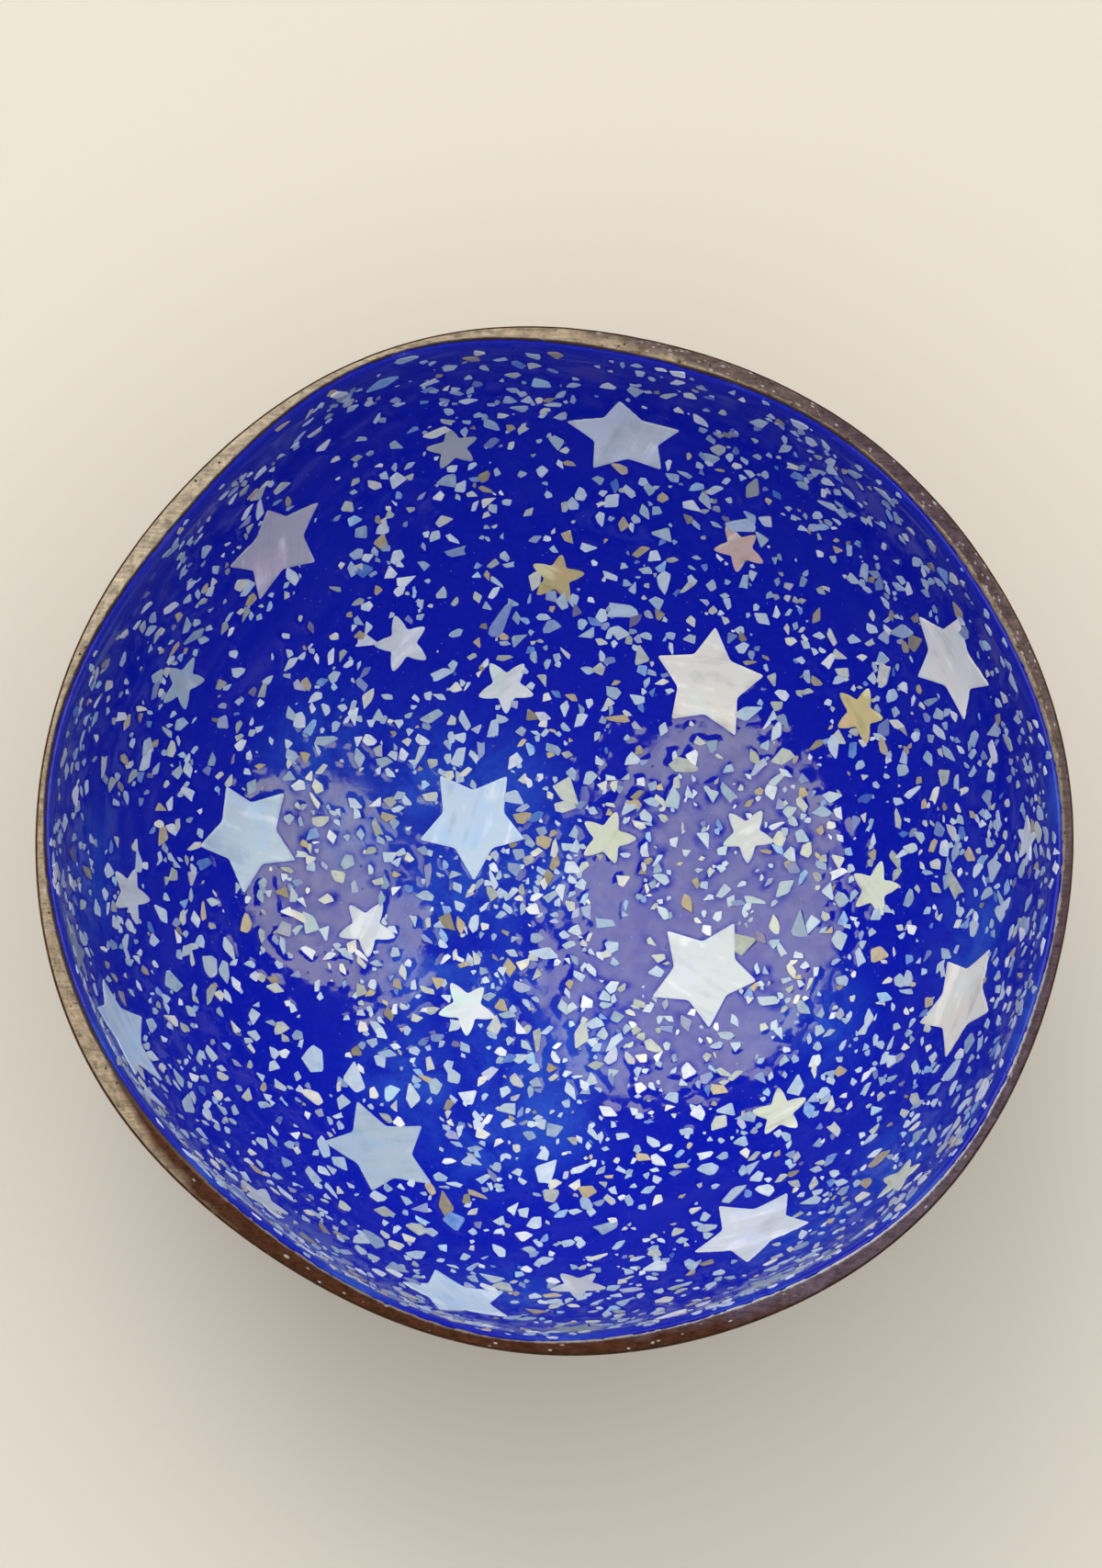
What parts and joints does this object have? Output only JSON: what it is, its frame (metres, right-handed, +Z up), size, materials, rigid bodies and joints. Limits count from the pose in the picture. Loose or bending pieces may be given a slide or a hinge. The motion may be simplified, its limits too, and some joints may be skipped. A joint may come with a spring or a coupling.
{
  "type": "coconut shell bowl",
  "caption": "Round-bottomed bowl made of half a coconut shell, lined with glossy blue lacquer that is inlaid with pearl stars and crushed pearl chips, for snacks or trinkets.",
  "frame": {"origin": "middle of the flat foot, on the face that the bowl rests on", "axes": "+Z up, from the foot to the rim; +X to the right and +Y away from the viewer as the picture shows the bowl from above"},
  "size_m": [0.1362, 0.1364, 0.0606],
  "materials": {
    "coconut_shell": "oiled and polished coconut shell with a ground rim",
    "blue_lacquer": "glossy ultramarine lacquer",
    "mauve_pearl": "polished mauve-grey mother-of-pearl",
    "grey_pearl": "polished grey mother-of-pearl",
    "bright_pearl": "polished white mother-of-pearl with green and pink fire",
    "blue_pearl": "polished pale blue mother-of-pearl",
    "gold_pearl": "polished golden mother-of-pearl",
    "cream_pearl": "polished cream mother-of-pearl",
    "white_chips": "crushed white pearl shell",
    "grey_chips": "crushed grey pearl shell",
    "cream_chips": "crushed cream pearl shell",
    "tan_chips": "crushed tan pearl shell",
    "blue_chips": "crushed blue-green pearl shell"
  },
  "bodies": {
    "root": {"coconut_shell": "coconut_shell", "lacquer_lining": "blue_lacquer", "large_star_01": "mauve_pearl", "large_star_02": "grey_pearl", "large_star_03": "bright_pearl", "large_star_04": "grey_pearl", "large_star_05": "blue_pearl", "large_star_06": "blue_pearl", "large_star_07": "bright_pearl", "large_star_08": "grey_pearl", "large_star_09": "blue_pearl", "large_star_10": "blue_pearl", "large_star_11": "grey_pearl", "large_star_12": "blue_pearl", "small_star_01": "grey_pearl", "small_star_02": "gold_pearl", "small_star_03": "mauve_pearl", "small_star_04": "gold_pearl", "small_star_05": "bright_pearl", "small_star_06": "gold_pearl", "small_star_07": "cream_pearl", "small_star_08": "grey_pearl", "small_star_09": "cream_pearl", "small_star_10": "mauve_pearl", "small_star_11": "cream_pearl", "small_star_12": "bright_pearl", "small_star_13": "cream_pearl", "small_star_14": "grey_pearl", "small_star_15": "grey_pearl", "small_star_16": "grey_pearl", "small_star_17": "cream_pearl", "small_star_18": "mauve_pearl", "small_star_19": "grey_pearl", "small_star_20": "cream_pearl", "small_star_21": "grey_pearl", "white_pearl_chips": "white_chips", "grey_pearl_chips": "grey_chips", "cream_pearl_chips": "cream_chips", "tan_pearl_chips": "tan_chips", "blue_pearl_chips": "blue_chips"}
  },
  "joints": []
}
